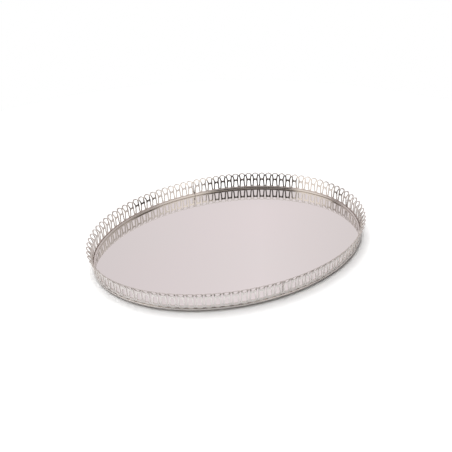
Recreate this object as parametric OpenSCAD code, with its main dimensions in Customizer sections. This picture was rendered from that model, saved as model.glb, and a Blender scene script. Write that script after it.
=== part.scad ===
// Oval dresser tray: a mirror plate in a rolled-edge pan, kept in by a smooth rail and fenced by a
// pierced, flared gallery that is made in four lengths. Millimetres, +Z up, long axis along X.
// The origin is on the resting plane, under the middle of the oval.

/* [Mirror and oval] */
// Length of the mirror that shows inside the rail
mirror_length = 350; // [300:5:420]
// Width of the mirror that shows inside the rail
mirror_width = 266; // [220:2:290]
// Thickness of the mirror glass
glass_thickness = 1.75; // [1.5:0.05:2.5]

/* [Gallery] */
// Height of the gallery's crest above the resting plane
tray_height = 26.1; // [25:0.1:32]
// Loops in each of the four lengths of gallery
loops_per_length = 25; // [20:1:30]
// Thickness of the gallery strip
strip_thickness = 0.9; // [0.7:0.05:1.2]
// Height of the cross bars' undersides, where the strip starts to lean out
bar_low = 16.4; // [14:0.1:16.4]
// How far the crest leans out beyond the foot
flare_reach = 5; // [3:0.1:7]

/* [Base] */
// Height of the pan's rolled edge
edge_height = 3.4; // [3.3:0.05:4]
// Reach of the rolled edge beyond the mirror's visible outline
edge_reach = 3.3; // [3:0.1:4]
// How far the rolled edge bulges
edge_bulge = 1.7; // [1:0.1:1.7]
// Height of the rail above the mirror
rail_height = 2.85; // [2.4:0.05:3.4]
// Thickness of the pan's floor
pan_sheet = 0.5; // [0.4:0.05:0.8]
// Thickness of the felt underneath
felt_thickness = 0.6; // [0.5:0.05:1]
// Thickness of the card between the pan and the mirror
card_thickness = 0.3; // [0.2:0.05:0.5]

/* [Hidden] */

// The oval and the stations along it
half_x = mirror_length / 2;
half_y = mirror_width / 2;
oval_sides = 96;
arc_steps = 720;

// Heights of the stack, from the resting plane up
floor_z = felt_thickness + pan_sheet;
card_z = floor_z + card_thickness;
mirror_z = card_z + glass_thickness;
rail_z = mirror_z + rail_height;

// Places across the rim, measured outwards from the mirror's visible outline
felt_line = -5;
pan_heel = -1.8;
card_line = 0.6;
glass_line = 0.9;
pan_wall = 1.2;
rail_outer = 1.85;
solder_gap = 0.15;
strip_inner = rail_outer + solder_gap;
strip_outer = strip_inner + strip_thickness;

// Height of the rail's rounded crown, and the steps of the rounded profiles
rail_crown = 1.2;
edge_step = 22.5;
crown_step = 30;

// Where each loop's members lie, as shares of one pitch from the middle of a capsule
slot_share = 0.175;
leg_share = 0.315;
post_share = 0.125;

// Levels of the strip: top of the foot, top of the bar, top of the slots, notch and arch underside
foot_top = 5.2;
bar_high = bar_low + 2;
slot_high = tray_height - 3.9;
notch_level = tray_height - 2.5;
arch_low = tray_height - 1.5;

// Splice plates behind the joints
splice_width = 2.6;
splice_thickness = 0.4;
splice_low = 4.2;
splice_high = bar_low - 1.8;

silver = "#c9c7c4";
bright_silver = "#dcdad7";
mirror_grey = "#d8d4d3";
card_grey = "#8d8a84";
felt_black = "#232326";

// A point on the oval at an angle, pushed outwards square to the curve
function oval_normal(angle) =
    let (nx = cos(angle) / half_x, ny = sin(angle) / half_y, size = norm([nx, ny]))
    [nx / size, ny / size];
function oval_point(angle, out) =
    [half_x * cos(angle), half_y * sin(angle)] + out * oval_normal(angle);

// Length along the oval against angle, and the angle at which a length is reached
function oval_step(i) =
    let (d = 360 / arc_steps)
    norm(oval_point((i + 1) * d, 0) - oval_point(i * d, 0));
arc_table = [for (i = 0, run = 0; i <= arc_steps; run = run + oval_step(i), i = i + 1)
    [run, i * 360 / arc_steps]];
oval_length = arc_table[arc_steps][0];
length_run = oval_length / 4;
pitch = length_run / (loops_per_length + 2 * post_share);
function angle_at(run) = lookup(run, arc_table);

function flat_list(lists) = [for (list = lists) each list];
function two_triangles(a, b, c, d) = [[a, b, c], [a, c, d]];

// A flat oval plate between two heights
module oval_plate(out, low, high) {
    translate([0, 0, low])
        linear_extrude(high - low)
            polygon([for (i = [0 : oval_sides - 1]) oval_point(i * 360 / oval_sides, out)]);
}

// Points of an [out, height] profile carried round the oval
function carried(profile) = flat_list([for (i = [0 : oval_sides - 1])
    [for (p = profile) concat(oval_point(i * 360 / oval_sides, p[0]), p[1])]]);

// Skin between neighbouring stations for one side of the profile
function side_skin(count, from, to) = flat_list([for (i = [0 : oval_sides - 1])
    let (here = i * count, next = ((i + 1) % oval_sides) * count)
    two_triangles(here + from, here + to, next + to, next + from)]);

// A closed ring round the oval, from a profile listed anticlockwise
module oval_ring(profile) {
    count = len(profile);
    polyhedron(carried(profile),
        flat_list([for (k = [0 : count - 1]) side_skin(count, k, (k + 1) % count)]));
}

// A dish: an open profile from its underside out, up and back in to its floor, closed at both ends
module oval_dish(profile) {
    count = len(profile);
    polyhedron(carried(profile),
        concat(flat_list([for (k = [0 : count - 2]) side_skin(count, k, k + 1)]),
            [[for (i = [0 : oval_sides - 1]) i * count]],
            [[for (i = [oval_sides - 1 : -1 : 0]) i * count + count - 1]]));
}

// How far the strip leans out at a height
function lean(z) = flare_reach * max(0, z - bar_low) / (tray_height - bar_low);

// Cells of one pitch of the strip, column by column: slot, leg, gap, leg, slot; each column lists
// its rows from the foot up, 1 for metal and 0 for open
slot_column = [1, 0, 0, 0, 1];
leg_column = [1, 1, 1, 1, 1];
gap_column = [1, 0, 1, 0, 1];
loop_columns = [slot_column, leg_column, gap_column, leg_column, slot_column];
columns = concat([leg_column],
    flat_list([for (i = [1 : loops_per_length]) loop_columns]), [leg_column]);
rows = len(leg_column);

// Heights of the levels at a line beside a slot, and at a line beside a gap under its arch
slot_levels = [edge_height, foot_top, bar_low, bar_high, slot_high, notch_level];
gap_levels = [edge_height, foot_top, bar_low, bar_high, arch_low, tray_height];

// Lines between the columns, as [place in pitches, heights]; a post closes each end of a length
loop_lines = [[0, slot_levels], [slot_share, slot_levels], [leg_share, gap_levels],
    [1 - leg_share, gap_levels], [1 - slot_share, slot_levels]];
lines = concat([[0, slot_levels]],
    flat_list([for (i = [0 : loops_per_length - 1])
        [for (line = loop_lines) [post_share + i + line[0], line[1]]]]),
    [for (i = [1, 2]) [i * post_share + loops_per_length, slot_levels]]);

function metal(c, r) = c >= 0 && c < len(columns) && r >= 0 && r < rows && columns[c][r] == 1;
function corner(c, r, side) = (c * (rows + 1) + r) * 2 + side;
function strip_cell(c, r) = concat(
    two_triangles(corner(c, r, 1), corner(c, r + 1, 1), corner(c + 1, r + 1, 1), corner(c + 1, r, 1)),
    two_triangles(corner(c, r, 0), corner(c + 1, r, 0), corner(c + 1, r + 1, 0), corner(c, r + 1, 0)),
    metal(c - 1, r) ? [] :
        two_triangles(corner(c, r, 0), corner(c, r + 1, 0), corner(c, r + 1, 1), corner(c, r, 1)),
    metal(c + 1, r) ? [] :
        two_triangles(corner(c + 1, r, 0), corner(c + 1, r, 1), corner(c + 1, r + 1, 1),
            corner(c + 1, r + 1, 0)),
    metal(c, r - 1) ? [] :
        two_triangles(corner(c, r, 0), corner(c, r, 1), corner(c + 1, r, 1), corner(c + 1, r, 0)),
    metal(c, r + 1) ? [] :
        two_triangles(corner(c, r + 1, 0), corner(c + 1, r + 1, 0), corner(c + 1, r + 1, 1),
            corner(c, r + 1, 1)));

// One length of pierced gallery over a quarter of the oval
module gallery_length(quarter) {
    color(bright_silver)
        polyhedron(
            flat_list([for (line = lines)
                let (angle = angle_at(quarter * length_run + line[0] * pitch))
                flat_list([for (z = line[1])
                    [for (edge = [strip_inner, strip_outer])
                        concat(oval_point(angle, edge + lean(z)), z)]])]),
            flat_list([for (c = [0 : len(columns) - 1], r = [0 : rows - 1])
                if (metal(c, r)) strip_cell(c, r)]));
}

module felt_pad() {
    color(felt_black)
        oval_plate(felt_line, 0, felt_thickness);
}

module base_pan() {
    color(silver)
        oval_dish(concat([[pan_heel, felt_thickness]],
            [for (a = [-90 : edge_step : 90])
                [edge_reach - edge_bulge * (1 - cos(a)), edge_height * (1 + sin(a)) / 2]],
            [[pan_wall, edge_height], [pan_wall, floor_z]]));
}

module backing_card() {
    color(card_grey)
        oval_plate(card_line, floor_z, card_z);
}

module mirror_plate() {
    color(mirror_grey)
        oval_plate(glass_line, card_z, mirror_z);
}

module inner_rail() {
    color(bright_silver)
        oval_ring(concat([[0, mirror_z], [pan_wall, mirror_z], [pan_wall, edge_height],
            [rail_outer, edge_height]],
            [for (a = [0 : crown_step : 180])
                [rail_outer * (1 + cos(a)) / 2, rail_z - rail_crown * (1 - sin(a))]]));
}

module gallery_rear_right() {
    gallery_length(0);
}

module gallery_rear_left() {
    gallery_length(1);
}

module gallery_front_left() {
    gallery_length(2);
}

module gallery_front_right() {
    gallery_length(3);
}

module splice_plates() {
    color(silver)
        for (quarter = [0 : 3])
            let (axis_end = (quarter % 2 == 0 ? half_x : half_y) + strip_outer)
            rotate(quarter * 90)
                translate([axis_end, -splice_width / 2, splice_low])
                    cube([splice_thickness, splice_width, splice_high - splice_low]);
}

felt_pad();
base_pan();
backing_card();
mirror_plate();
inner_rail();
gallery_rear_right();
gallery_rear_left();
gallery_front_left();
gallery_front_right();
splice_plates();
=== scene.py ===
"""Looks for an oval gallery tray: smooth metalwork, mirror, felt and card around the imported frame."""

import math

import bmesh
import bpy
from mathutils import Matrix, Quaternion, Vector


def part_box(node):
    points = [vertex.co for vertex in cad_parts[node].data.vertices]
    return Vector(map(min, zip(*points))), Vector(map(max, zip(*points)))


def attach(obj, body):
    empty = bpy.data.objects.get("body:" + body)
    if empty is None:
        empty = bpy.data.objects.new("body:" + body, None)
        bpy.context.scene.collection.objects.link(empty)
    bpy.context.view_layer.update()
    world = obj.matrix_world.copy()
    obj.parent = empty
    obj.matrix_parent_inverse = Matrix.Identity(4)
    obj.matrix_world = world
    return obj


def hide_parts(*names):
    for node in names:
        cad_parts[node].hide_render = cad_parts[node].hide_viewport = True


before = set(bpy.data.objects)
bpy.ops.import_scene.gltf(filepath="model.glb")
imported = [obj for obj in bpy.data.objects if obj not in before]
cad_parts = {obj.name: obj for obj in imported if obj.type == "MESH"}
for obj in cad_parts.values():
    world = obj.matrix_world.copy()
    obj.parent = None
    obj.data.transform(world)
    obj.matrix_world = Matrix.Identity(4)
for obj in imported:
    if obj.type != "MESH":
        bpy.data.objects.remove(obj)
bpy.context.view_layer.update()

bl_info = {
    "name": "Gallery Tray",
    "version": (1, 0, 0),
    "blender": (4, 5, 0),
    "location": "3D View > Sidebar > Tray",
    "description": "Builds the metalwork and finishes of an oval mirror tray around its packed frame",
    "category": "Object",
}

MM = 0.001
BODY = "root"
GALLERY_NODES = (
    "gallery_rear_right",
    "gallery_rear_left",
    "gallery_front_left",
    "gallery_front_right",
)

# ---- places taken from the frame

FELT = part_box("felt_pad")
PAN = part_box("base_pan")
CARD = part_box("backing_card")
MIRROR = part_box("mirror_plate")
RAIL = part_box("inner_rail")
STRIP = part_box("gallery_rear_right")
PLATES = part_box("splice_plates")

# The mirror runs this far under the rail, so its visible outline is smaller by as much
GLASS_COVERED = 0.9 * MM
HALF_X = MIRROR[1].x - GLASS_COVERED
HALF_Y = MIRROR[1].y - GLASS_COVERED

FELT_TOP = FELT[1].z
CARD_LOW = CARD[0].z
MIRROR_TOP = MIRROR[1].z
EDGE_TOP = PAN[1].z
RAIL_TOP = RAIL[1].z
CREST = STRIP[1].z

# Places across the rim, measured outwards from the mirror's visible outline
EDGE_OUT = PAN[1].x - HALF_X
RAIL_OUT = RAIL[1].x - HALF_X
PLATE_OUT = PLATES[1].x - HALF_X
PAN_WALL = 1.2 * MM
PAN_HEEL = -1.8 * MM
# Fullness of the rolled edge's corners (1 is an ellipse), and the points along it
EDGE_SQUARENESS = 0.45
EDGE_STEPS = 32
# Where the rail is highest, and how far its top falls towards the gallery
RAIL_PEAK = 0.7 * MM
RAIL_FALL = 1.6 * MM


def length_property(name, description, millimetres):
    """A property that holds a length."""
    return bpy.props.FloatProperty(
        name=name, description=description, default=millimetres * MM, unit="LENGTH"
    )


def angle_property(name, description, degrees):
    """A property that holds an angle."""
    return bpy.props.FloatProperty(
        name=name, description=description, default=math.radians(degrees), subtype="ANGLE"
    )


def colour_property(name, description, default):
    """A property that holds a colour."""
    return bpy.props.FloatVectorProperty(
        name=name, description=description, default=default, size=3, subtype="COLOR"
    )


class TraySizes(bpy.types.PropertyGroup):
    """Sizes of the metalwork that the frame leaves open."""

    loops: bpy.props.IntProperty(
        name="Loops in a length",
        description="Whole loops in each of the four lengths of gallery",
        default=25,
        min=8,
    )
    strip_thickness: length_property("Strip thickness", "Thickness of the pierced strip", 0.9)
    strip_gap: length_property("Solder gap", "Gap between the rail and the strip", 0.15)
    lean_reach: length_property("Lean", "How far the crest leans out beyond the foot", 5)
    bar_low: length_property("Bar height", "Height of the bars' undersides, where the lean starts", 16.4)
    bar_depth: length_property("Bar depth", "Depth of a cross bar at its middle", 2.2)
    slot_low: length_property("Slot bottom", "Height of the lowest point of a loop's slot", 6.9)
    slot_high: length_property("Slot top", "Height of the highest point of a loop's slot", 22.5)
    slot_share: bpy.props.FloatProperty(
        name="Slot width",
        description="Half the width of a slot, as a share of the pitch",
        default=0.13,
        subtype="FACTOR",
    )
    member_width: length_property("Member width", "Width of the metal round a slot", 1.9)
    arch_radius: length_property("Arch radius", "Radius of the arches along the crest", 6)
    arch_depth: length_property("Arch depth", "Depth of metal in an arch", 1.25)
    softening: length_property("Softened edge", "How far polishing has rounded the cut edges", 0.1)
    edge_bulge: length_property("Edge bulge", "How far the pan's rolled edge bulges", 1.7)
    rail_crown: length_property("Rail crown", "Height of the rounding on the rail's mirror side", 0.6)


class TrayColours(bpy.types.PropertyGroup):
    """Colours of the finishes."""

    silver: colour_property("Silver plate", "Colour of clean polished plate", (0.86, 0.82, 0.80))
    # The tarnish colour is also painted as shade low on the rail and at the gallery's foot.
    tarnish: colour_property("Tarnish", "Colour where polishing hasn't reached", (0.42, 0.35, 0.27))
    mirror: colour_property("Mirror", "Colour of the silvered glass", (0.90, 0.875, 0.87))
    felt: colour_property("Felt", "Colour of the felt underneath", (0.016, 0.016, 0.019))
    card: colour_property("Card", "Colour of the backing card", (0.26, 0.25, 0.23))
    floor: colour_property("Floor", "Colour of the plain floor", (0.92, 0.92, 0.92))


class TrayStage(bpy.types.PropertyGroup):
    """Where the camera stands, and the floor."""

    azimuth: angle_property("Azimuth", "Way that the camera faces, anticlockwise from +X", 63.34)
    elevation: angle_property("Elevation", "How steeply the camera looks down", 31.05)
    roll: angle_property("Roll", "Tilt of the camera about its line of sight", -0.303)
    distance: length_property("Distance", "From the camera to the point that it is aimed at", 775.8)
    aim: bpy.props.FloatVectorProperty(
        name="Aim",
        description="Point on the resting plane that the camera is aimed at",
        default=(0.04465, 0.0033, 0),
        size=3,
        subtype="TRANSLATION",
    )
    lens: bpy.props.FloatProperty(
        name="Lens",
        description="Focal length in millimetres on a 36 mm sensor",
        default=46.24,
    )
    shift: bpy.props.FloatVectorProperty(
        name="Shift",
        description="Sideways and upward shift of the lens",
        default=(-0.0792, 0.0109),
        size=2,
    )
    floor_radius: length_property("Floor radius", "Radius of the plain floor", 700)


SETTINGS = (("tray_sizes", TraySizes), ("tray_colours", TrayColours), ("tray_stage", TrayStage))


# ---- the oval

def oval_length():
    """Length round the mirror's visible outline, by Ramanujan's formula."""
    h = ((HALF_X - HALF_Y) / (HALF_X + HALF_Y)) ** 2
    return math.pi * (HALF_X + HALF_Y) * (1 + 3 * h / (10 + math.sqrt(4 - 3 * h)))


def oval_normal(angle):
    """Outward direction of the oval at an angle."""
    return Vector((math.cos(angle) / HALF_X, math.sin(angle) / HALF_Y, 0)).normalized()


def oval_point(angle, out, z):
    """A point at an angle, pushed outwards square to the oval."""
    place = Vector((HALF_X * math.cos(angle), HALF_Y * math.sin(angle), z))
    return place + oval_normal(angle) * out


# ---- meshes

def smoothed(bm):
    """The bmesh with all its faces shaded smooth."""
    for face in bm.faces:
        face.smooth = True
    return bm


def new_piece(name, bm, material=None, sharp=None):
    """A finished bmesh as an object at the origin; edges over sharp degrees are shaded sharp."""
    mesh = bpy.data.meshes.new(name)
    bm.to_mesh(mesh)
    bm.free()
    if material:
        mesh.materials.append(material)
    if sharp:
        mesh.set_sharp_from_angle(angle=math.radians(sharp))
    piece = bpy.data.objects.new(name, mesh)
    bpy.context.scene.collection.objects.link(piece)
    return piece


def made_plain(piece):
    """The piece with its modifiers' result as its own mesh, and no modifier left."""
    depsgraph = bpy.context.evaluated_depsgraph_get()
    result = bpy.data.meshes.new_from_object(piece.evaluated_get(depsgraph), depsgraph=depsgraph)
    if not result.polygons:
        raise RuntimeError(f"{piece.name} came out empty")
    piece.modifiers.clear()
    old = piece.data
    piece.data = result
    result.name = piece.name
    bpy.data.meshes.remove(old)
    return piece


def seat(piece, slot, *nodes):
    """Puts the piece on the tray's body, in place of the CAD nodes that it stands for."""
    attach(piece, BODY)
    if nodes:
        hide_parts(*nodes)


def swept_skin(bm, profile_at, angles, closed):
    """Sweeps a profile of (out, z) pairs round the oval and returns the rings of vertices.

    The run map holds metres along the oval and metres across the profile.
    """
    runs = bm.loops.layers.uv.new("run")
    rings = []
    for angle in angles:
        rings.append([bm.verts.new(oval_point(angle, out, z)) for out, z in profile_at(angle)])
    step = oval_length() / len(angles)
    across = [0]
    profile = [Vector(pair) for pair in profile_at(angles[0])]
    for here, after in zip(profile, profile[1:] + profile[:1]):
        across.append(across[-1] + (after - here).length)
    sides = len(profile) if closed else len(profile) - 1
    for i, ring in enumerate(rings):
        beside = rings[(i + 1) % len(rings)]
        for k in range(sides):
            j = (k + 1) % len(profile)
            face = bm.faces.new((ring[k], beside[k], beside[j], ring[j]))
            face.smooth = True
            low, high = across[k], across[k + 1]
            along, further = i * step, (i + 1) * step
            places = ((along, low), (further, low), (further, high), (along, high))
            for loop, place in zip(face.loops, places):
                loop[runs].uv = place
    return rings


def even_angles(count):
    """Angles spaced evenly round the oval."""
    return [2 * math.pi * i / count for i in range(count)]


def arc(centre, radii, start, end, steps):
    """Points of an elliptical arc in (out, z), angles in degrees."""
    points = []
    for i in range(steps + 1):
        a = math.radians(start + (end - start) * i / steps)
        points.append((centre[0] + radii[0] * math.cos(a), centre[1] + radii[1] * math.sin(a)))
    return points


# ---- nodes

def feed(tree, node, values):
    """Gives a node's inputs their values; a value that is a socket is linked."""
    for name, value in values.items():
        if isinstance(value, bpy.types.NodeSocket):
            tree.links.new(value, node.inputs[name])
        else:
            node.inputs[name].default_value = value


def add(tree, kind, values=None, **settings):
    """Adds a node, sets its attributes and feeds its inputs."""
    node = tree.nodes.new(kind)
    for name, value in settings.items():
        setattr(node, name, value)
    feed(tree, node, values or {})
    return node


def maths(tree, operation, *values):
    """A maths node on sockets or numbers."""
    return add(tree, "ShaderNodeMath", dict(enumerate(values)), operation=operation).outputs[0]


def vector_maths(tree, operation, *values):
    """A vector maths node on sockets or vectors."""
    return add(tree, "ShaderNodeVectorMath", dict(enumerate(values)), operation=operation).outputs[0]


def scaled(tree, vector, amount):
    """A vector made longer or shorter."""
    values = {0: vector, "Scale": amount}
    return add(tree, "ShaderNodeVectorMath", values, operation="SCALE").outputs[0]


def combined(tree, x=0, y=0, z=0):
    """A vector from its x, y and z."""
    return add(tree, "ShaderNodeCombineXYZ", {0: x, 1: y, 2: z}).outputs[0]


def parted(tree, vector):
    """The x, y and z of a vector."""
    return tuple(add(tree, "ShaderNodeSeparateXYZ", {0: vector}).outputs)


def ranged(tree, value, low, high, first=0, last=1, kind="LINEAR"):
    """A value mapped from low and high to first and last, and held there beyond them."""
    values = {"Value": value, "From Min": low, "From Max": high, "To Min": first, "To Max": last}
    return add(tree, "ShaderNodeMapRange", values, interpolation_type=kind).outputs["Result"]


def noise(tree, place, scale, **more):
    """Soft noise at a place; more holds the noise's other inputs."""
    values = {"Vector": place, "Scale": scale, **more}
    return add(tree, "ShaderNodeTexNoise", values).outputs["Fac"]


def blend(tree, factor, first, second):
    """A mix of two colours."""
    values = {"Factor": factor, "A": first, "B": second}
    return add(tree, "ShaderNodeMix", values, data_type="RGBA").outputs["Result"]


def opaque(colour):
    """A colour as four channels."""
    return (*colour, 1)


# ---- shader groups

def shader_group(name, vectors, numbers, outputs):
    """An empty shader group with vector inputs, numbers with their defaults, and number outputs."""
    group = bpy.data.node_groups.new(name, "ShaderNodeTree")
    for label in vectors:
        group.interface.new_socket(label, in_out="INPUT", socket_type="NodeSocketVector")
    for label, default in numbers.items():
        socket = group.interface.new_socket(label, in_out="INPUT", socket_type="NodeSocketFloat")
        socket.default_value = default
    for label in outputs:
        group.interface.new_socket(label, in_out="OUTPUT", socket_type="NodeSocketFloat")
    return group, add(group, "NodeGroupInput").outputs, add(group, "NodeGroupOutput")


def polish_group():
    """Polishing lines that follow the metal, soft smudges over it, and tarnish in patches."""
    group, source, result = shader_group(
        "Hand polish",
        ("Run", "Place"),
        {"Line spacing": 4000.0, "Smudge size": 45.0, "Roughness": 0.1, "Variation": 0.1},
        ("Roughness", "Height", "Patches"),
    )
    stretched = vector_maths(group, "MULTIPLY", source["Run"], (0.02, 1, 1))
    lines = noise(group, stretched, source["Line spacing"], Detail=3.0, Roughness=0.6)
    smudges = noise(group, source["Place"], source["Smudge size"], Detail=5.0, Roughness=0.55)
    marks = maths(group, "MULTIPLY_ADD", lines, 0.35, ranged(group, smudges, 0.35, 0.7))
    wide = noise(group, source["Place"], 14.0, Detail=3.0)
    values = {
        "Roughness": maths(group, "MULTIPLY_ADD", marks, source["Variation"], source["Roughness"]),
        "Height": lines,
        "Patches": ranged(group, wide, 0.48, 0.72),
    }
    feed(group, result, values)
    return group


def fibre_group():
    """Matted fibres: a tangle of fine threads with lighter flecks, for felt and card."""
    group, source, result = shader_group(
        "Matted fibre",
        ("Place",),
        {"Fibre scale": 900.0, "Mottle scale": 40.0, "Fleck share": 0.1},
        ("Height", "Mottle", "Flecks"),
    )
    place = source["Place"]
    tangle = add(group, "ShaderNodeTexNoise", {"Vector": place, "Scale": 260.0, "Detail": 2.0})
    bent = vector_maths(group, "ADD", place, scaled(group, tangle.outputs["Color"], 0.006))
    cells = add(group, "ShaderNodeTexVoronoi", {"Vector": bent, "Scale": source["Fibre scale"]})
    values = {
        "Height": noise(group, bent, source["Fibre scale"], Detail=6.0, Distortion=2.5),
        "Mottle": noise(group, place, source["Mottle scale"], Detail=4.0),
        "Flecks": maths(group, "LESS_THAN", cells.outputs["Distance"], source["Fleck share"]),
    }
    feed(group, result, values)
    return group


def shared_group(tree, name, maker, values):
    """The outputs of the named group in a tree; the group is built the first time it is asked for."""
    group = bpy.data.node_groups.get(name) or maker()
    return add(tree, "ShaderNodeGroup", values, node_tree=group).outputs


# ---- materials

# Share of tarnish in the patches, of tarnish and painted shade low beside the pan, and of tarnish on a cut
# edge
PATCH_TARNISH = 0.07
RECESS_TARNISH_AND_SHADE = 0.55
CUT_TARNISH = 0.45
# How bright the floor looks in the metal, as when its edges are flagged off
FLOOR_IN_METAL = 0.78


def new_material(name):
    """An empty material, its tree, its Principled shader and the place that is shaded."""
    material = bpy.data.materials.new(name)
    material.use_nodes = True
    tree = material.node_tree
    tree.nodes.clear()
    shader = add(tree, "ShaderNodeBsdfPrincipled")
    add(tree, "ShaderNodeOutputMaterial", {"Surface": shader.outputs["BSDF"]})
    return material, tree, shader, add(tree, "ShaderNodeTexCoord").outputs["Object"]


def silver_material(name, roughness, variation, tarnish_shade_heights=None, pierced=False):
    """Polished silver plate.

    Tarnish and painted shade darken the plate low down, fading out upwards between two given heights, and
    pierced plate is duller at its cut edges.
    """
    material, tree, shader, place = new_material(name)
    colours = bpy.context.scene.tray_colours
    tarnish = opaque(colours.tarnish)
    run = add(tree, "ShaderNodeUVMap", uv_map="run").outputs["UV"]
    values = {"Run": run, "Place": place, "Roughness": roughness, "Variation": variation}
    polish = shared_group(tree, "Hand polish", polish_group, values)
    amount = maths(tree, "MULTIPLY", polish["Patches"], PATCH_TARNISH)
    # Tarnish and painted shade: darkest at the lower of the two heights, none above the upper.
    if tarnish_shade_heights:
        height = parted(tree, place)[2]
        depth = ranged(tree, height, *tarnish_shade_heights, RECESS_TARNISH_AND_SHADE, 0, "SMOOTHSTEP")
        amount = maths(tree, "MAXIMUM", depth, amount)
    plate = blend(tree, amount, opaque(colours.silver), tarnish)
    if pierced:
        cut = add(tree, "ShaderNodeAttribute", attribute_name="cut_edge").outputs["Fac"]
        dull = ranged(tree, cut, 0.75, 1, 0, CUT_TARNISH, "SMOOTHSTEP")
        plate = blend(tree, dull, plate, tarnish)
    relief = {"Strength": 0.05, "Distance": 0.02 * MM, "Height": polish["Height"]}
    looks = {
        "Base Color": plate,
        "Roughness": polish["Roughness"],
        "Normal": add(tree, "ShaderNodeBump", relief).outputs["Normal"],
        "Metallic": 1,
    }
    feed(tree, shader, looks)
    return material


def mirror_material():
    """Silvered glass: a sharp mirror with a slow drift of tint and a faint, uneven haze."""
    material, tree, shader, place = new_material("silvered glass")
    warm = Vector(bpy.context.scene.tray_colours.mirror)
    cool = (warm.x * 0.975, warm.y * 1.005, warm.z * 0.99)
    drift = noise(tree, place, 7.0, Detail=1.0)
    wipe = noise(tree, place, 28.0, Detail=5.0)
    looks = {
        "Base Color": blend(tree, drift, opaque(warm), opaque(cool)),
        "Roughness": ranged(tree, wipe, 0.4, 0.75, 0.004, 0.022),
        "Metallic": 1,
    }
    feed(tree, shader, looks)
    return material


def fibre_material(name, colour, fibre_scale, fleck, sheen, relief):
    """Felt or card, from the shared fibre group."""
    material, tree, shader, place = new_material(name)
    base = Vector(colour)
    values = {"Place": place, "Fibre scale": fibre_scale}
    fibre = shared_group(tree, "Matted fibre", fibre_group, values)
    mottled = blend(tree, fibre["Mottle"], opaque(base * 0.7), opaque(base * 1.35))
    share = maths(tree, "MULTIPLY", fibre["Flecks"], 0.4)
    nap = {"Strength": 0.6, "Distance": relief, "Height": fibre["Height"]}
    looks = {
        "Base Color": blend(tree, share, mottled, opaque(base * fleck)),
        "Normal": add(tree, "ShaderNodeBump", nap).outputs["Normal"],
        "Roughness": 0.95,
        "Sheen Weight": sheen,
        "Sheen Roughness": 0.4,
    }
    feed(tree, shader, looks)
    return material


def floor_material():
    """Matt white board with the faintest mottle, darker where metal mirrors it."""
    material, tree, shader, place = new_material("floor white")
    base = Vector(bpy.context.scene.tray_colours.floor)
    board = blend(tree, noise(tree, place, 3.0, Detail=2.0), opaque(base), opaque(base * 0.995))
    mirrored = add(tree, "ShaderNodeLightPath").outputs["Is Glossy Ray"]
    looks = {
        "Base Color": blend(tree, mirrored, board, opaque(base * FLOOR_IN_METAL)),
        "Roughness": 0.9,
        "Specular IOR Level": 0.1,
    }
    feed(tree, shader, looks)
    return material


# ---- one loop of the gallery

def pitch():
    """Distance from loop to loop along the oval; a post closes each end of a length."""
    return oval_length() / 4 / (bpy.context.scene.tray_sizes.loops + 2 * POST_SHARE)


# Width of an end post as a share of the pitch
POST_SHARE = 0.06
# Rows of points from the back of a cut edge, over its rounding, to the front
ROUNDING = [math.radians(a) for a in (-90, -54, -18, 18, 54, 90)]
SLOT_POINTS = 28
FINE_POINTS = 160
# Shape of a slot: squareness of its ends, and how much narrower it is at the bottom
SLOT_POWER = 0.8
SLOT_TAPER = 0.3
# How quickly the lean grows towards the crest
FLARE_POWER = 2
# Levels and roundings of the two openings between loops
FOOT_TOP = 6.6 * MM
FOOT_HALF = 1.0 * MM
FOOT_CORNER = 0.7 * MM
LOW_ARCH = 2.2 * MM
CUP_DEPTH = 1.9 * MM
CUP_NECK = 0.7 * MM
ROOF_START = 1.2 * MM
# The strip touches the pan only between the loops
FOOT_SINK = 0.12 * MM
FOOT_SLIT = 1.15 * MM
SLIT_SHARE = 0.25
JOINT_GAP = 0.01 * MM
# The posts are filed flat where two lengths meet
STILE_SOFTENING = 0.25


def slot_outline(count):
    """Points round a slot centred on x = 0, anticlockwise from its lowest point."""
    sizes = bpy.context.scene.tray_sizes
    middle = (sizes.slot_low + sizes.slot_high) / 2
    half = (sizes.slot_high - sizes.slot_low) / 2
    points = []
    for i in range(count):
        a = 2 * math.pi * i / count - math.pi / 2
        rise = math.copysign(abs(math.sin(a)) ** SLOT_POWER, math.sin(a))
        width = sizes.slot_share * pitch() * (1 - SLOT_TAPER * (1 - rise) / 2)
        points.append(Vector((width * math.cos(a), middle + half * rise)))
    return points


def grown(outline, distance):
    """A closed anticlockwise outline pushed out square to itself."""
    result = []
    for i, here in enumerate(outline):
        run = outline[(i + 1) % len(outline)] - outline[i - 1]
        out = Vector((run.y, -run.x)).normalized()
        result.append(here + out * distance)
    return result


def right_side(outline):
    """The half of a closed outline from its lowest point up its right side to its highest."""
    half = outline[: len(outline) // 2 + 1]
    half[0].x = 0
    half[-1].x = 0
    return half


def width_at(side, z):
    """Where a right side stands at a height; nothing above or below it."""
    for low, high in zip(side, side[1:]):
        if low.y <= z <= high.y:
            share = (z - low.y) / max(high.y - low.y, 1e-9)
            return low.x + (high.x - low.x) * share
    return 0


def round_steps(low, reach, count, upward):
    """Heights packed towards the closed end of a rounding that starts at low."""
    heights = []
    for i in range(count):
        a = math.pi / 2 * i / count
        heights.append(low + reach * (math.sin(a) if upward else 1 - math.cos(a)))
    return heights


def circle_side(reach, depth):
    """Share of the full width left at a depth into a round end."""
    return math.sqrt(max(0, 1 - (depth / reach) ** 2))


def joined(first, second, power):
    """The larger of two lengths, or with a negative power the smaller, rounded where they cross."""
    return (first**power + second**power) ** (1 / power)


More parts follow.
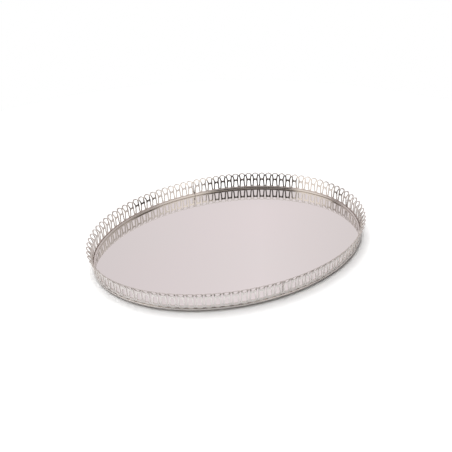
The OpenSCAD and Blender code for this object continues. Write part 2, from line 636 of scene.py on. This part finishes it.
def low_opening(side):
    """The opening under a bar: flared feet, tapering sides and an arched top."""
    sizes = bpy.context.scene.tray_sizes
    half_pitch = pitch() / 2
    top = sizes.bar_low
    bend = top - LOW_ARCH
    heights = round_steps(FOOT_TOP, FOOT_CORNER, 4, False)
    straight = [0, 0.16, 0.36, 0.58, 0.8]
    heights += [FOOT_TOP + FOOT_CORNER + (bend - FOOT_TOP - FOOT_CORNER) * s for s in straight]
    heights += round_steps(bend, LOW_ARCH, 6, True)
    points = []
    for z in heights:
        leg = joined(width_at(side, z), FOOT_HALF, 4)
        half = half_pitch - leg
        if z < FOOT_TOP + FOOT_CORNER:
            depth = FOOT_TOP + FOOT_CORNER - z
            half -= FOOT_CORNER * (1 - circle_side(FOOT_CORNER, depth))
        if z > bend:
            half *= circle_side(LOW_ARCH, z - bend)
        points.append(Vector((half, z)))
    return points + [Vector((0, top))]


def high_opening(side):
    """The opening over a bar: a cup between two loops, roofed by the arch."""
    sizes = bpy.context.scene.tray_sizes
    half_pitch = pitch() / 2
    inner = sizes.arch_radius - sizes.arch_depth
    centre = CREST - sizes.arch_radius
    low = sizes.bar_low + sizes.bar_depth
    top = centre + inner
    shoulder = low + CUP_DEPTH
    heights = round_steps(low, CUP_DEPTH, 6, False)[1:]
    heights += [shoulder, shoulder + CUP_NECK]
    heights += round_steps(shoulder + ROOF_START, top - shoulder - ROOF_START, 9, True)
    points = [Vector((0, low))]
    for z in heights:
        half = half_pitch - width_at(side, z)
        if z < shoulder:
            half *= circle_side(CUP_DEPTH, shoulder - z)
        roof = math.sqrt(max(inner**2 - max(0, z - centre) ** 2, 0))
        half = joined(half, max(roof, 1e-6), -8)
        points.append(Vector((half, z)))
    return points + [Vector((0, top))]


def both_sides(right, middle):
    """A closed anticlockwise outline from its right side, about a centre line."""
    mirrored = [Vector((-p.x, p.y)) for p in reversed(right) if p.x > 1e-7]
    return [Vector((middle + p.x, p.y)) for p in right + mirrored]


def crest_line(inset, centre, start, end, count):
    """Points along an arch's top between two places, sunk by the inset."""
    sizes = bpy.context.scene.tray_sizes
    radius = sizes.arch_radius - inset
    base = CREST - sizes.arch_radius
    low = math.asin((start - centre) / radius)
    high = math.asin((end - centre) / radius)
    points = []
    for i in range(count + 1):
        a = low + (high - low) * i / count
        points.append(Vector((centre + radius * math.sin(a), base + radius * math.cos(a))))
    return points


def slit_lift(away):
    """Height of the slit at a distance from the middle of a loop."""
    share = min(1, away / (SLIT_SHARE * pitch()))
    return FOOT_SLIT * min(1, 2.2 * (1 - share**2))


def foot_line(inset, count):
    """The strip's lower edge from loop to loop, raised in a slit under each loop."""
    points = []
    step = pitch()
    for i in range(count + 1):
        x = step * (count - i) / count
        points.append(Vector((x, EDGE_TOP - FOOT_SINK + slit_lift(min(x, step - x)) + inset)))
    return points


def cell_outlines(inset):
    """Every outline of one pitch of strip with its edges cut back by an inset."""
    sizes = bpy.context.scene.tray_sizes
    step = pitch()
    slot = grown(slot_outline(SLOT_POINTS), inset)
    right = right_side(slot)
    left = [Vector((step - p.x, p.y)) for p in reversed(right)]
    side = right_side(grown(slot_outline(FINE_POINTS), sizes.member_width))
    return {
        "foot": foot_line(inset, 20),
        "slot_right": right,
        "crest": crest_line(inset, step / 2, 0, step, 12),
        "slot_left": left,
        "low": grown(both_sides(low_opening(side), step / 2), inset),
        "high": grown(both_sides(high_opening(side), step / 2), inset),
    }


def post_outlines(inset):
    """Outlines of the post that closes a length, left of x = 0."""
    sizes = bpy.context.scene.tray_sizes
    step = pitch()
    outer = inset * STILE_SOFTENING + JOINT_GAP - POST_SHARE * step
    low = EDGE_TOP - FOOT_SINK + slit_lift(0) + inset
    crest = crest_line(inset, -step / 2, outer, 0, 4)
    outside = [Vector((0, low)), Vector((outer, low)), *crest]
    bottom = sizes.slot_low - inset
    top = sizes.slot_high + inset
    slot = [Vector((0, top)), Vector((-inset, top)), Vector((-inset, bottom)), Vector((0, bottom))]
    return {"outside": outside, "slot": slot}


def strip_mesh(name, outlines_at, border, loops_closed):
    """A flat piece of strip with rounded edges: x along, y outwards, z up.

    border lists the outlines round its edge in order; loops_closed names the holes.
    """
    sizes = bpy.context.scene.tray_sizes
    bm = bmesh.new()
    cut = bm.verts.layers.float.new("cut_edge")
    rows = []
    for a in ROUNDING:
        inset = sizes.softening * (1 - math.cos(a))
        depth = sizes.strip_thickness / 2 * math.sin(a)
        row = {}
        for label, outline in outlines_at(inset).items():
            row[label] = []
            for point in outline:
                vert = bm.verts.new((point.x, depth, point.y))
                vert[cut] = math.cos(a)
                row[label].append(vert)
        rows.append(row)
    for low, high in zip(rows, rows[1:]):
        for label in low:
            under = list(low[label])
            over = list(high[label])
            if label in loops_closed:
                under.append(under[0])
                over.append(over[0])
            for i in range(len(under) - 1):
                bm.faces.new((under[i], under[i + 1], over[i + 1], over[i]))
    for row, side in ((rows[0], -1), (rows[-1], 1)):
        rings = [[vert for label in border for vert in row[label]]]
        rings += [row[label] for label in loops_closed]
        edges = []
        for ring in rings:
            for here, after in zip(ring, ring[1:] + ring[:1]):
                edges.append(bm.edges.get((here, after)) or bm.edges.new((here, after)))
        made = bmesh.ops.triangle_fill(bm, edges=edges, use_beauty=True, normal=(0, side, 0))
        for face in made["geom"]:
            if isinstance(face, bmesh.types.BMFace):
                face.normal_update()
                if face.normal.y * side < 0:
                    face.normal_flip()
    return new_piece(name, smoothed(bm))


# ---- node trees for geometry

OVAL_INPUTS = (
    ("Quarter", "Int"),
    ("Loops", "Int"),
    ("Pitch", "Float"),
    ("Post", "Float"),
    ("Half length", "Float"),
    ("Half width", "Float"),
    ("Out", "Float"),
    ("Material", "Material"),
)


def geometry_tree(name, inputs):
    """An empty Geometry Nodes tree with the oval's inputs and more (name, kind) inputs."""
    tree = bpy.data.node_groups.new(name, "GeometryNodeTree")
    for label, kind in (("Geometry", "Geometry"), *OVAL_INPUTS, *inputs):
        tree.interface.new_socket(label, in_out="INPUT", socket_type=f"NodeSocket{kind}")
    tree.interface.new_socket("Geometry", in_out="OUTPUT", socket_type="NodeSocketGeometry")
    return tree, add(tree, "NodeGroupInput").outputs, add(tree, "NodeGroupOutput")


def fill_inputs(piece, tree, values):
    """Adds the tree to a piece as a modifier and sets its inputs by identifier."""
    modifier = piece.modifiers.new(tree.name, "NODES")
    modifier.node_group = tree
    for item in tree.interface.items_tree:
        if item.in_out == "INPUT" and item.name in values:
            modifier[item.identifier] = values[item.name]


def oval_values(quarter, out, material):
    """Inputs that every tree on the oval takes."""
    return {
        "Quarter": quarter,
        "Loops": bpy.context.scene.tray_sizes.loops,
        "Pitch": pitch(),
        "Post": POST_SHARE * pitch(),
        "Half length": HALF_X,
        "Half width": HALF_Y,
        "Out": out,
        "Material": material,
    }


def passed(tree, kind, geometry, values=None, **settings):
    """Geometry after it has gone through a node of Geometry Nodes."""
    return add(tree, f"GeometryNode{kind}", {0: geometry, **(values or {})}, **settings).outputs[0]


def pattern(tree, piece):
    """The geometry of a piece that is one of the tree's inputs."""
    return add(tree, "GeometryNodeObjectInfo", {"Object": piece}).outputs["Geometry"]


def finish_tree(tree, source, result, geometry):
    """Ends a tree with real geometry in its material."""
    real = passed(tree, "RealizeInstances", geometry)
    coated = passed(tree, "SetMaterial", real, {"Material": source["Material"]})
    feed(tree, result, {"Geometry": coated})


def pitch_line(tree, source, start):
    """Points for the loops of a length, one pitch apart along x."""
    offset = combined(tree, source["Pitch"])
    values = {"Count": source["Loops"], "Start Location": start, "Offset": offset}
    return add(tree, "GeometryNodeMeshLine", values).outputs["Mesh"]


def oval_curve(tree, source):
    """The mirror's outline as a curve, from the tree's half length and half width."""
    circle = add(tree, "GeometryNodeCurvePrimitiveCircle", {"Resolution": 1440, "Radius": 1})
    size = combined(tree, source["Half length"], source["Half width"], 1)
    return passed(tree, "Transform", circle.outputs["Curve"], {"Scale": size})


def on_oval(tree, source, along):
    """Place on the oval at a distance along a quarter, with the directions along it and outwards."""
    run = maths(tree, "MULTIPLY", source["Loops"], source["Pitch"])
    total = maths(tree, "MULTIPLY_ADD", source["Post"], 2, run)
    within = maths(tree, "DIVIDE", along, total)
    factor = maths(tree, "DIVIDE", maths(tree, "ADD", source["Quarter"], within), 4)
    values = {"Curves": oval_curve(tree, source), "Factor": factor}
    sample = add(tree, "GeometryNodeSampleCurve", values, mode="FACTOR").outputs
    out = vector_maths(tree, "CROSS_PRODUCT", sample["Tangent"], (0, 0, 1))
    return sample["Position"], sample["Tangent"], vector_maths(tree, "NORMALIZE", out)


def raised(tree, place, outward, out, height):
    """Place moved outwards and up."""
    moved = vector_maths(tree, "ADD", place, scaled(tree, outward, out))
    return vector_maths(tree, "ADD", moved, combined(tree, z=height))


def gallery_tree():
    """Repeats one loop along a line, closes the ends with posts and bends the strip on to the oval."""
    extra = (
        ("Loop", "Object"),
        ("End post", "Object"),
        ("Lean from", "Float"),
        ("Lean reach", "Float"),
        ("Crest", "Float"),
    )
    tree, source, result = geometry_tree("Gallery length", extra)
    loop = pattern(tree, source["Loop"])
    post = pattern(tree, source["End post"])
    start = combined(tree, source["Post"])
    run = maths(tree, "MULTIPLY", source["Loops"], source["Pitch"])
    end = combined(tree, maths(tree, "ADD", run, source["Post"]))
    line = pitch_line(tree, source, start)
    loops = passed(tree, "InstanceOnPoints", line, {"Instance": loop})
    first = passed(tree, "Transform", post, {"Translation": start})
    last = passed(tree, "Transform", post, {"Translation": end, "Scale": (-1, 1, 1)})
    together = add(tree, "GeometryNodeJoinGeometry")
    for part in (passed(tree, "FlipFaces", last), loops, first):
        feed(tree, together, {0: part})
    strip = passed(tree, "RealizeInstances", together.outputs[0])
    strip = passed(tree, "MergeByDistance", strip, {"Distance": 0.01 * MM})

    x, y, z = parted(tree, add(tree, "GeometryNodeInputPosition").outputs[0])
    runs = {"Name": "run", "Value": combined(tree, x, z)}
    corners = {"data_type": "FLOAT2", "domain": "CORNER"}
    strip = passed(tree, "StoreNamedAttribute", strip, runs, **corners)
    above = maths(tree, "SUBTRACT", z, source["Lean from"])
    reach = maths(tree, "SUBTRACT", source["Crest"], source["Lean from"])
    share = maths(tree, "MAXIMUM", maths(tree, "DIVIDE", above, reach), 0)
    flare = maths(tree, "POWER", share, FLARE_POWER)
    lean = maths(tree, "MULTIPLY", flare, source["Lean reach"])
    out = maths(tree, "ADD", maths(tree, "ADD", y, source["Out"]), lean)
    place, _, outward = on_oval(tree, source, x)
    bent = {"Position": raised(tree, place, outward, out, z)}
    strip = passed(tree, "SetPosition", strip, bent)
    finish_tree(tree, source, result, passed(tree, "FlipFaces", strip))
    return tree


def solder_tree():
    """Sets a bead of solder between every two loops in a quarter of the oval."""
    extra = (("Bead", "Object"), ("Height", "Float"), ("Seed", "Int"))
    tree, source, result = geometry_tree("Foot solder", extra)
    begin = maths(tree, "MULTIPLY_ADD", source["Pitch"], 0.5, source["Post"])
    points = pitch_line(tree, source, combined(tree, begin))
    x, _, _ = parted(tree, add(tree, "GeometryNodeInputPosition").outputs[0])
    place, along, outward = on_oval(tree, source, x)
    kept = {"Name": "along", "Value": along}
    vectors = {"data_type": "FLOAT_VECTOR"}
    points = passed(tree, "StoreNamedAttribute", points, kept, domain="POINT", **vectors)
    spot = raised(tree, place, outward, source["Out"], source["Height"])
    points = passed(tree, "SetPosition", points, {"Position": spot})
    recall = add(tree, "GeometryNodeInputNamedAttribute", {"Name": "along"}, **vectors)
    facing = {"Vector": recall.outputs["Attribute"]}
    turn = add(tree, "FunctionNodeAlignRotationToVector", facing, axis="X", pivot_axis="Z")
    limits = {0: (0.75, 0.85, 0.8), 1: (1.2, 1.1, 1.15), "Seed": source["Seed"]}
    size = add(tree, "FunctionNodeRandomValue", limits, **vectors)
    values = {
        "Instance": pattern(tree, source["Bead"]),
        "Rotation": turn.outputs["Rotation"],
        "Scale": size.outputs["Value"],
    }
    finish_tree(tree, source, result, passed(tree, "InstanceOnPoints", points, values))
    return tree


# ---- operators

# Rounding along the pan's inner wall, and the flat of its heel round the felt
WALL_LIP = 0.12 * MM
HEEL_FLAT = 0.5 * MM
HEEL_DROP = 0.02 * MM
# Shares of the way out to the rim at which the pan's flat faces are divided
FLAT_RINGS = (0.9, 0.7, 0.4, 0.12)
# The rail: rounding of its sole, height of the tarnish and painted shade beside the gallery, and the joint
# of its ends
RAIL_LIP = 0.18 * MM
RAIL_TARNISH_AND_SHADE = 1.1 * MM
SEAM_HALF = 0.08
SEAM_SHARE = 0.16
SEAM_ANGLES = (-0.16, -0.08, -0.035, 0.035, 0.08, 0.16)
# Height of the tarnish and painted shade at the foot of the gallery
GALLERY_TARNISH_AND_SHADE = 1.2 * MM
# Splice plates, and the smear of solder that shows round each
PLATE_WIDTH = 1.7 * MM
SMEAR_WIDTH = 2.1 * MM
SMEAR_EXTRA = 0.6 * MM
PLATE_CORNER = 0.5 * MM
PLATE_SOFTENING = 0.17 * MM
SMEAR_SOFTENING = 0.09 * MM
# Beads of solder: half sizes along, out and up, and how far each sinks into strip and pan
BEAD_SIZE = (1.1 * MM, 0.24 * MM, 0.27 * MM)
BEAD_SUNK = 0.02 * MM
BEAD_DROP = 0.3 * MM
BEAD_SEED = 11


class TRAY_OT_finish_nodes(bpy.types.Operator):
    """Gives the mirror, the card and the felt their materials"""

    bl_idname = "tray.finish_nodes"
    bl_label = "Finish mirror, card and felt"

    def execute(self, context):
        colours = context.scene.tray_colours
        finishes = {
            "mirror_plate": (mirror_material(), "mirror"),
            "backing_card": (
                fibre_material("grey board", colours.card, 1500.0, 2.2, 0.1, 0.03 * MM),
                "card",
            ),
            "felt_pad": (
                fibre_material("black felt", colours.felt, 700.0, 5.0, 0.7, 0.15 * MM),
                "felt",
            ),
        }
        for node, (material, slot) in finishes.items():
            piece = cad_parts[node]
            if not piece.material_slots:
                piece.data.materials.append(material)
            for place in piece.material_slots:
                place.material = material
        return {"FINISHED"}


class TRAY_OT_base_pan(bpy.types.Operator):
    """Sweeps the pan's rolled edge round the oval and closes its floor"""

    bl_idname = "tray.base_pan"
    bl_label = "Make base pan"

    def execute(self, context):
        profile = [(PAN_HEEL, FELT_TOP), (PAN_HEEL + HEEL_FLAT, FELT_TOP - HEEL_DROP)]
        profile += self.rolled_edge(context.scene.tray_sizes.edge_bulge)
        profile += [(PAN_WALL + WALL_LIP, EDGE_TOP), (PAN_WALL, EDGE_TOP - WALL_LIP)]
        profile += [(PAN_WALL, CARD_LOW + WALL_LIP), (PAN_WALL - WALL_LIP, CARD_LOW)]
        bm = bmesh.new()
        rings = swept_skin(bm, lambda angle: profile, even_angles(360), False)
        self.close(bm, [ring[0] for ring in rings], FELT_TOP, True)
        self.close(bm, [ring[-1] for ring in rings], CARD_LOW, False)
        piece = new_piece("base_pan_sheet", bm, silver_material("pan silver", 0.13, 0.1), 50)
        seat(piece, "pan_silver", "base_pan")
        return {"FINISHED"}

    @staticmethod
    def rolled_edge(bulge):
        """The rolled edge in (out, z): an upright face with full round corners."""
        half = EDGE_TOP / 2
        points = []
        for i in range(EDGE_STEPS + 1):
            a = math.pi * i / EDGE_STEPS - math.pi / 2
            reach = abs(math.cos(a)) ** EDGE_SQUARENESS
            rise = math.copysign(abs(math.sin(a)) ** EDGE_SQUARENESS, math.sin(a))
            points.append((EDGE_OUT - bulge + bulge * reach, half + half * rise))
        return points

    @staticmethod
    def close(bm, rim, z, underside):
        """Fills a rim with rings that shrink to a middle point."""
        runs = bm.loops.layers.uv["run"]
        rings = [rim]
        for share in FLAT_RINGS:
            rings.append([bm.verts.new((v.co.x * share, v.co.y * share, z)) for v in rim])
        faces = []
        for outer, inner in zip(rings, rings[1:]):
            for i in range(len(rim)):
                j = (i + 1) % len(rim)
                faces.append(bm.faces.new((outer[i], outer[j], inner[j], inner[i])))
        hub = bm.verts.new((0, 0, z))
        for i, vert in enumerate(rings[-1]):
            faces.append(bm.faces.new((vert, rings[-1][(i + 1) % len(rim)], hub)))
        for face in faces:
            if underside:
                face.normal_flip()
            for loop in face.loops:
                loop[runs].uv = loop.vert.co.xy


class TRAY_OT_inner_rail(bpy.types.Operator):
    """Sweeps the rounded rail round the mirror, with a soldered butt joint at the rear"""

    bl_idname = "tray.inner_rail"
    bl_label = "Make inner rail"

    def execute(self, context):
        crown = context.scene.tray_sizes.rail_crown
        profile = [(RAIL_LIP, MIRROR_TOP), (PAN_WALL, MIRROR_TOP)]
        profile += [(PAN_WALL, EDGE_TOP), (RAIL_OUT, EDGE_TOP)]
        fall = (RAIL_OUT - RAIL_PEAK, RAIL_FALL)
        profile += arc((RAIL_PEAK, RAIL_TOP - RAIL_FALL), fall, 0, 90, 12)
        profile += arc((RAIL_PEAK, RAIL_TOP - crown), (RAIL_PEAK, crown), 90, 180, 10)[1:]
        profile += [(0, MIRROR_TOP + RAIL_LIP)]
        centre = Vector((RAIL_OUT / 2, (RAIL_TOP + MIRROR_TOP) / 2))
        seam = math.pi / 2
        near = [seam + math.radians(a) for a in SEAM_ANGLES]

        def profile_at(angle):
            """The profile, drawn in slightly where the two ends of the rail meet."""
            away = abs(angle - seam) / math.radians(SEAM_HALF)
            depth = SEAM_SHARE * max(0, 1 - away)
            points = []
            for pair in profile:
                point = Vector(pair)
                if point.y > MIRROR_TOP:
                    point = point.lerp(centre, depth)
                points.append(tuple(point))
            return points

        bm = bmesh.new()
        swept_skin(bm, profile_at, sorted(even_angles(360) + near), True)
        # Tarnish and painted shade darken the rail low down, beside the gallery's foot.
        material = silver_material("rail silver", 0.07, 0.07, (EDGE_TOP, EDGE_TOP + RAIL_TARNISH_AND_SHADE))
        piece = new_piece("half_round_rail", bm, material, 50)
        seat(piece, "rail_silver", "inner_rail")
        return {"FINISHED"}


class TRAY_OT_gallery(bpy.types.Operator):
    """Makes the four pierced lengths of gallery, one for each quarter of the oval"""

    bl_idname = "tray.gallery"
    bl_label = "Make gallery"

    def execute(self, context):
        sizes = context.scene.tray_sizes
        border = ("foot", "slot_right", "crest", "slot_left")
        loop = strip_mesh("loop pattern", cell_outlines, border, ("low", "high"))
        post = strip_mesh("post pattern", post_outlines, ("outside", "slot"), ())
        # Tarnish and painted shade darken the gallery's foot.
        foot = (EDGE_TOP, EDGE_TOP + GALLERY_TARNISH_AND_SHADE)
        material = silver_material("gallery silver", 0.09, 0.06, foot, True)
        tree = gallery_tree()
        out = RAIL_OUT + sizes.strip_gap + sizes.strip_thickness / 2
        shape = {
            "Loop": loop,
            "End post": post,
            "Lean from": sizes.bar_low,
            "Lean reach": sizes.lean_reach,
            "Crest": CREST,
        }
        for quarter, node in enumerate(GALLERY_NODES):
            piece = new_piece(node.replace("gallery", "pierced_gallery"), bmesh.new(), material)
            fill_inputs(piece, tree, oval_values(quarter, out, material) | shape)
            weighted = piece.modifiers.new("Even shading", "WEIGHTED_NORMAL")
            weighted.weight = 80
            made_plain(piece)
            seat(piece, "gallery_silver", node)
        for pattern in (loop, post):
            bpy.data.objects.remove(pattern)
        return {"FINISHED"}


class TRAY_OT_splice_plates(bpy.types.Operator):
    """Makes the small plates that back the gallery's joints, each on a smear of solder"""

    bl_idname = "tray.splice_plates"
    bl_label = "Make splice plates"

    def execute(self, context):
        sizes = context.scene.tray_sizes
        low, high = PLATES[0].z, PLATES[1].z
        inner = RAIL_OUT + sizes.strip_gap + sizes.strip_thickness
        depth = PLATE_OUT - inner
        plate = (depth, PLATE_WIDTH, high - low)
        smear = (depth * 0.5, SMEAR_WIDTH, high - low + SMEAR_EXTRA)
        bm = bmesh.new()
        for quarter in range(4):
            angle = quarter * math.pi / 2
            facing = Matrix.Rotation(angle, 4, "Z")
            for size, soft in ((plate, PLATE_SOFTENING), (smear, SMEAR_SOFTENING)):
                place = oval_point(angle, inner + size[0] / 2, (high + low) / 2)
                self.block(bm, Matrix.Translation(place) @ facing, size, soft)
        material = silver_material("splice silver", 0.16, 0.12)
        piece = new_piece("splice_plates_soldered", smoothed(bm), material, 60)
        seat(piece, "gallery_silver", "splice_plates")
        return {"FINISHED"}

    @staticmethod
    def block(bm, place, size, soft):
        """A small plate with corners cut round and softened edges."""
        scale = Matrix.Diagonal((*size, 1))
        made = bmesh.ops.create_cube(bm, size=1, matrix=place @ scale)
        verts = set(made["verts"])
        through = [
            edge
            for edge in bm.edges
            if set(edge.verts) <= verts and abs(edge.calc_length() - size[0]) < 1e-7
        ]
        rounded = bmesh.ops.bevel(
            bm, geom=through, offset=PLATE_CORNER, segments=5, profile=0.5, affect="EDGES"
        )
        faces = set(rounded["faces"]) | {face for vert in verts if vert.is_valid for face in vert.link_faces}
        reach = {vert for face in faces for vert in face.verts}
        rim = [
            edge
            for edge in bm.edges
            if set(edge.verts) <= reach
            and edge.is_manifold
            and edge.calc_face_angle(0) > math.radians(60)
        ]
        bmesh.ops.bevel(bm, geom=rim, offset=soft, segments=3, profile=0.5, affect="EDGES")


class TRAY_OT_foot_solder(bpy.types.Operator):
    """Sets beads of solder where the gallery's feet stand on the pan"""

    bl_idname = "tray.foot_solder"
    bl_label = "Make foot solder"

    def execute(self, context):
        sizes = context.scene.tray_sizes
        bm = bmesh.new()
        bmesh.ops.create_icosphere(bm, subdivisions=2, radius=1)
        bmesh.ops.scale(bm, vec=BEAD_SIZE, verts=bm.verts)
        material = silver_material("solder silver", 0.2, 0.15)
        bead = new_piece("solder pattern", smoothed(bm), material)
        tree = solder_tree()
        out = RAIL_OUT + sizes.strip_gap + sizes.strip_thickness - BEAD_SUNK
        whole = bmesh.new()
        for quarter in range(4):
            part = new_piece(f"solder length {quarter}", bmesh.new(), material)
            beads = {"Bead": bead, "Height": EDGE_TOP - BEAD_DROP, "Seed": BEAD_SEED + quarter}
            fill_inputs(part, tree, oval_values(quarter, out, material) | beads)
            whole.from_mesh(made_plain(part).data)
            bpy.data.objects.remove(part)
        bpy.data.objects.remove(bead)
        piece = new_piece("foot_solder", whole, material)
        runs = piece.data.uv_layers.new(name="run")
        for loop in piece.data.loops:
            runs.data[loop.index].uv = piece.data.vertices[loop.vertex_index].co.xz
        seat(piece, "gallery_silver")
        return {"FINISHED"}


class TRAY_OT_stage(bpy.types.Operator):
    """Lays the plain floor, lights it softly and sets up the camera"""

    bl_idname = "tray.stage"
    bl_label = "Set the stage"

    def execute(self, context):
        stage = context.scene.tray_stage
        self.floor(stage)
        self.camera(context, stage)
        self.world(context, stage)
        self.lamp(context)
        context.scene.view_settings.view_transform = "Standard"
        return {"FINISHED"}

    @staticmethod
    def floor(stage):
        bm = bmesh.new()
        bmesh.ops.create_circle(bm, cap_ends=True, cap_tris=True, segments=96, radius=stage.floor_radius)
        floor = new_piece("floor", bm, floor_material())

    @staticmethod
    def camera(context, stage):
        data = bpy.data.cameras.new("camera")
        data.lens = stage.lens
        data.sensor_width = 36
        data.shift_x, data.shift_y = stage.shift
        data.clip_start = 0.01
        data.clip_end = 100
        camera = bpy.data.objects.new("camera", data)
        context.scene.collection.objects.link(camera)
        level = math.cos(stage.elevation)
        facing = Vector(
            (math.cos(stage.azimuth) * level, math.sin(stage.azimuth) * level, -math.sin(stage.elevation))
        )
        camera.location = Vector(stage.aim) - facing * stage.distance
        turn = Quaternion((0, 0, 1), stage.roll)
        camera.rotation_mode = "QUATERNION"
        camera.rotation_quaternion = facing.to_track_quat("-Z", "Y") @ turn
        context.scene.camera = camera

    @staticmethod
    def world(context, stage):
        """A studio dome that the metal mirrors: walls with a dark gap, a skirting and a grey roof."""
        world = bpy.data.worlds.new("studio")
        context.scene.world = world
        world.use_nodes = True
        tree = world.node_tree
        tree.nodes.clear()
        place = add(tree, "ShaderNodeTexCoord").outputs["Generated"]
        turn = {"Vector": place, "Rotation": (0, 0, -stage.azimuth)}
        turned = add(tree, "ShaderNodeMapping", turn, vector_type="POINT").outputs[0]
        x, y, height = parted(tree, turned)
        bearing = maths(tree, "ARCTAN2", y, x)
        round_way = maths(tree, "MULTIPLY_ADD", bearing, 0.5 / math.pi, 0.5)
        walls = TRAY_OT_stage.ramp(tree, round_way, WALLS)
        skirting = TRAY_OT_stage.ramp(tree, round_way, SKIRTING)
        sides = blend(tree, TRAY_OT_stage.fade(tree, height, SKIRTING_FADE), skirting, walls)
        dome = blend(tree, TRAY_OT_stage.fade(tree, height, ROOF_FADE), sides, opaque(ROOF))
        path = add(tree, "ShaderNodeLightPath").outputs
        light = {
            "Color": blend(tree, path["Is Camera Ray"], dome, opaque(BACKDROP)),
            "Strength": maths(tree, "MULTIPLY_ADD", path["Is Diffuse Ray"], DIFFUSE_SHARE - 1, 1),
        }
        background = add(tree, "ShaderNodeBackground", light)
        add(tree, "ShaderNodeOutputWorld", {"Surface": background.outputs[0]})

    @staticmethod
    def fade(tree, height, degrees):
        """Share that grows from none to all between two angles above the horizon."""
        low, high = (math.sin(math.radians(a)) for a in degrees)
        return ranged(tree, height, low, high, kind="SMOOTHSTEP")

    @staticmethod
    def ramp(tree, round_way, stops):
        """Colour at a share of the way round, from (degrees, colour) stops."""
        node = add(tree, "ShaderNodeValToRGB", {"Fac": round_way})
        elements = node.color_ramp.elements
        elements.remove(elements[-1])
        for index, (bearing, colour) in enumerate(stops):
            place = bearing / 360
            element = elements[0] if index == 0 else elements.new(place)
            element.position = place
            element.color = opaque(colour)
        return node.outputs["Color"]

    @staticmethod
    def lamp(context):
        """A wide lamp overhead, to the rear, which lights the floor but isn't mirrored."""
        data = bpy.data.lights.new("overhead", "AREA")
        data.shape = "SQUARE"
        data.size = LAMP_SIZE
        data.energy = LAMP_POWER
        lamp = bpy.data.objects.new("overhead", data)
        context.scene.collection.objects.link(lamp)
        lamp.location = LAMP_PLACE
        lamp.rotation_mode = "QUATERNION"
        lamp.rotation_quaternion = (-Vector(LAMP_PLACE)).to_track_quat("-Z", "Y")
        lamp.visible_glossy = False


# Colours of the studio's walls, and of the skirting below them: degrees anticlockwise from
# straight behind the camera, and the colour there
DARK = (0.07, 0.062, 0.058)
WALLS = (
    (33, DARK),
    (43, (0.98, 0.92, 0.84)),
    (60, (0.98, 0.92, 0.84)),
    (72, (0.74, 0.70, 0.66)),
    (100, (0.44, 0.40, 0.38)),
    (150, (0.62, 0.58, 0.57)),
    (180, (0.835, 0.76, 0.775)),
    (235, (0.56, 0.52, 0.52)),
    (268, (0.40, 0.36, 0.34)),
    (296, (0.98, 0.92, 0.85)),
    (322, (0.98, 0.92, 0.85)),
    (331, DARK),
)
SKIRTING = (
    (34, DARK),
    (42, (0.78, 0.74, 0.71)),
    (66, (0.80, 0.76, 0.72)),
    (74, DARK),
    (86, DARK),
    (94, (0.62, 0.58, 0.55)),
    (180, (0.72, 0.68, 0.68)),
    (258, (0.58, 0.54, 0.52)),
    (264, (0.16, 0.14, 0.13)),
    (272, (0.16, 0.14, 0.13)),
    (280, (0.90, 0.86, 0.82)),
    (322, (0.98, 0.92, 0.85)),
    (331, DARK),
)
ROOF = (0.72, 0.69, 0.68)
# Degrees above the horizon between which the skirting turns into wall, and wall into roof
SKIRTING_FADE = (25, 29)
ROOF_FADE = (50, 66)
# Plain colour that the camera sees past the floor's edge
BACKDROP = (1, 1, 1)
# Share of the dome's light that falls on matt surfaces
DIFFUSE_SHARE = 0.2
# The lamp
LAMP_PLACE = (-0.12, 0.8, 2.8)
LAMP_SIZE = 2.2
LAMP_POWER = 128


class TRAY_PT_panel(bpy.types.Panel):
    """Lists the steps that build the tray"""

    bl_label = "Gallery tray"
    bl_idname = "TRAY_PT_panel"
    bl_space_type = "VIEW_3D"
    bl_region_type = "UI"
    bl_category = "Tray"

    def draw(self, context):
        for step in STEPS:
            self.layout.operator(step.bl_idname)


STEPS = (
    TRAY_OT_finish_nodes,
    TRAY_OT_base_pan,
    TRAY_OT_inner_rail,
    TRAY_OT_gallery,
    TRAY_OT_splice_plates,
    TRAY_OT_foot_solder,
    TRAY_OT_stage,
)


def register():
    for name, group in SETTINGS:
        bpy.utils.register_class(group)
        setattr(bpy.types.Scene, name, bpy.props.PointerProperty(type=group))
    for step in STEPS:
        bpy.utils.register_class(step)
    bpy.utils.register_class(TRAY_PT_panel)


def unregister():
    bpy.utils.unregister_class(TRAY_PT_panel)
    for step in reversed(STEPS):
        bpy.utils.unregister_class(step)
    for name, group in reversed(SETTINGS):
        delattr(bpy.types.Scene, name)
        bpy.utils.unregister_class(group)


def main():
    register()
    bpy.ops.tray.finish_nodes()
    bpy.ops.tray.base_pan()
    bpy.ops.tray.inner_rail()
    bpy.ops.tray.gallery()
    bpy.ops.tray.splice_plates()
    bpy.ops.tray.foot_solder()
    bpy.ops.tray.stage()


if __name__ == "__main__":
    main()
